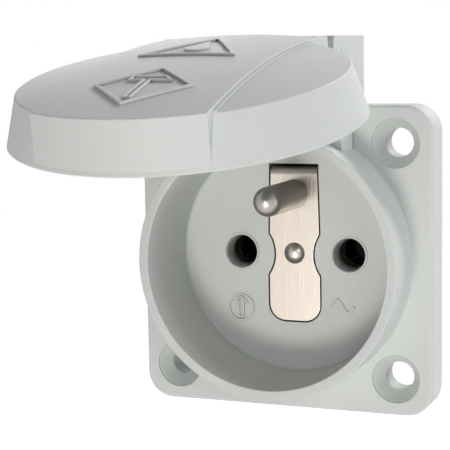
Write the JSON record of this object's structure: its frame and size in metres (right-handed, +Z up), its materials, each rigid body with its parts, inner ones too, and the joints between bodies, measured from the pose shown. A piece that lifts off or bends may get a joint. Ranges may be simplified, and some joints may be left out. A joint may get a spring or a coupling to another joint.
{
  "type": "panel socket",
  "caption": "Grey industrial panel socket with a square flange, round collar, earth pin, two contact holes and a hinged domed lid standing open.",
  "frame": {"origin": "Centre of the flange's rear face, in the plane that lies on the panel and in the middle of the four fixing holes", "axes": "+Z up, towards the hinge; the socket's front looks along -Y; +X is to the right seen from the front"},
  "size_m": [0.05, 0.0941, 0.0614],
  "materials": {
    "housing_grey": "fine matt texture",
    "insert_black": "matt",
    "seal_rubber": "matt",
    "strap_steel": "satin, nickel plated",
    "pin_steel": "satin",
    "contact_brass": "bright",
    "screw_steel": "zinc plated"
  },
  "bodies": {
    "housing": {"front_housing": "housing_grey", "contact_carrier": "insert_black", "rear_block": "insert_black", "flange_seal": "seal_rubber", "hinge_pin": "pin_steel", "earth_strap": "strap_steel", "earth_pin": "pin_steel", "strap_rivet": "strap_steel", "left_contact": "contact_brass", "right_contact": "contact_brass", "left_contact_ring": "screw_steel", "right_contact_ring": "screw_steel", "left_clamp": "contact_brass", "right_clamp": "contact_brass", "earth_clamp": "contact_brass", "left_screw": "screw_steel", "right_screw": "screw_steel", "earth_screw": "screw_steel", "left_insert_screw": "screw_steel", "right_insert_screw": "screw_steel"},
    "lid_body": {"lid": "housing_grey", "lid_seal": "seal_rubber"}
  },
  "joints": [
    {"name": "lid_hinge", "type": "hinge", "parent": "housing", "child": "lid_body", "pos_m": [0, -0.0128, 0.0328], "axis": [-1, 0, 0], "range_deg": [-78.1, 21.9]}
  ]
}
